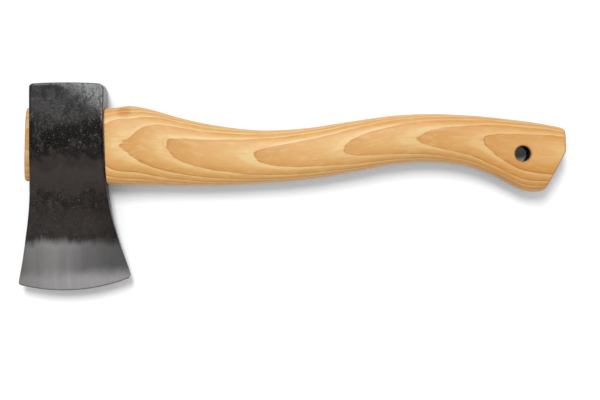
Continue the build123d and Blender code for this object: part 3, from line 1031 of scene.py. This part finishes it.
BEECH_TONES = [
    (0.3, (0.33, 0.18, 0.075)), (0.55, (0.42, 0.24, 0.105)), (0.75, (0.49, 0.30, 0.14)),
]
beech, tree, shader, place = new_finish("wedge_beech", (0.42, 0.25, 0.12), 0.6)
pores = fibres_at(tree, place)[1]
flecks = speckle(tree, place, 1.0, 3.0, 0.6, (0.5, 0.22, 3.4))
colour = colour_steps(tree, flecks, BEECH_TONES)
colour = mix_colours(tree, calculate(tree, "MULTIPLY", pores, 0.3), colour, PORE)
link(tree, colour, shader.inputs["Base Color"])
emboss(tree, shader, flecks, 0.4, 0.0002)
give_finish(wedge_piece, beech)
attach(wedge_piece, "root")
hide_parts("wooden_wedge")

# ---- Ring wedge
# The ring wedge is a short piece of steel tube, ground thin at its leading end
# and hammered into the end grain over the wooden wedge, which it locks.
RING_BORE = RING_RADIUS - RING_WALL
RING_TUBE = [
    (0.30, RING_RADIUS - 0.02), (0.12, RING_RADIUS - 0.10), (0.03, RING_RADIUS - 0.28),
    (0.0, RING_RADIUS - 0.6), (0.0, RING_BORE + 0.5), (0.05, RING_BORE + 0.2),
    (0.2, RING_BORE + 0.06), (0.45, RING_BORE + 0.02),
    (RING_LENGTH - 0.1, RING_RADIUS - 0.95), (RING_LENGTH - 0.1, RING_RADIUS - 0.65),
]
STRUCK_DEPTH = 0.0004  # metres
STRUCK_DENT = 0.00012

ring_end = from_eye(TONGUE_END, 0, 0)
ring_piece = turned(RING_TUBE, ring_end, Vector((1, 0, 0)), "wedge_ring", 96)
for vert in ring_piece.data.vertices:
    struck = max(0, 1 - (vert.co.x - ring_end.x) / STRUCK_DEPTH)
    dent = noise.noise(Vector((vert.co.y, vert.co.z, 0)) * 420)
    vert.co.x += STRUCK_DENT * max(dent, 0) * struck

STEEL = (0.40, 0.40, 0.41)
STEEL_TONES = [(0.3, (0.22, 0.21, 0.21)), (0.55, STEEL), (0.75, (0.52, 0.52, 0.52))]
steel, tree, shader, place = new_finish("wedge_steel", STEEL, 0.38, 1.0)
wear = speckle(tree, place, 0.9, 4.0, 0.6)
link(tree, colour_steps(tree, wear, STEEL_TONES), shader.inputs["Base Color"])
link(tree, ease(tree, wear, 0.3, 0.7, 0.5, 0.3), shader.inputs["Roughness"])
emboss(tree, shader, wear, 0.4, 0.0001)
give_finish(ring_piece, steel)
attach(ring_piece, "root")
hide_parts("ring_wedge")

# ---- Floor, light and camera
# The hatchet lies on a wide white studio floor, lit by a long, narrow soft box
# beyond its poll and by an even pale room, and is seen from straight above.
FLOOR_HALF = 6  # metres
FLOOR_LIT = (0.9, 0.9, 0.9)
FLOOR_SEEN = (1.22, 1.22, 1.23)
ROOM_LIGHT = 0.52
BOX_SIZE = (2.7, 5.5)
BOX_ENERGY = 783
BOX_TOWARDS = (-0.16, 0.7, 1.35)
BOX_AWAY = 12
CAMERA_AT = (0.00635, -0.00925, 1.2)
CAMERA_LENS = 101.5


def white_seen(tree):
    """Whether a ray comes from the camera, off metal or through glass, and sees plain white."""
    rays = add_node(tree, "ShaderNodeLightPath").outputs
    seen = calculate(tree, "MAXIMUM", rays["Is Camera Ray"], rays["Is Glossy Ray"])
    return calculate(tree, "MAXIMUM", seen, rays["Is Transmission Ray"])


floor_bm = bmesh.new()
bmesh.ops.create_grid(floor_bm, x_segments=1, y_segments=1, size=FLOOR_HALF)
floor = finish_mesh(floor_bm, "studio_floor")
paper = bpy.data.materials.new("studio_paper")
paper.use_nodes = True
tree = paper.node_tree
shader = tree.nodes["Principled BSDF"]
shader.inputs["Roughness"].default_value = 1.0
shader.inputs["Specular IOR Level"].default_value = 0.0
paper_colour = mix_colours(tree, white_seen(tree), FLOOR_LIT, FLOOR_SEEN)
link(tree, paper_colour, shader.inputs["Base Color"])
give_finish(floor, paper)

room = bpy.data.worlds.new("studio_room")
room.use_nodes = True
bpy.context.scene.world = room
tree = room.node_tree
backdrop = tree.nodes["Background"]
backdrop.inputs["Color"].default_value = (1, 1, 1, 1)
room_strength = calculate(tree, "MULTIPLY_ADD", white_seen(tree), 1 - ROOM_LIGHT, ROOM_LIGHT)
link(tree, room_strength, backdrop.inputs["Strength"])

lamp_data = bpy.data.lights.new("soft_box", "AREA")
lamp_data.shape = "RECTANGLE"
lamp_data.size, lamp_data.size_y = BOX_SIZE
lamp_data.energy = BOX_ENERGY
lamp = bpy.data.objects.new("soft_box", lamp_data)
lamp.location = Vector(BOX_TOWARDS).normalized() * BOX_AWAY
lamp.rotation_euler = lamp.location.to_track_quat("Z", "Y").to_euler()
bpy.context.scene.collection.objects.link(lamp)

camera_data = bpy.data.cameras.new("studio_camera")
camera_data.lens = CAMERA_LENS
camera_data.sensor_width = 36
camera = bpy.data.objects.new("studio_camera", camera_data)
camera.location = CAMERA_AT
bpy.context.scene.collection.objects.link(camera)
bpy.context.scene.camera = camera

bpy.context.scene.view_settings.view_transform = "Standard"
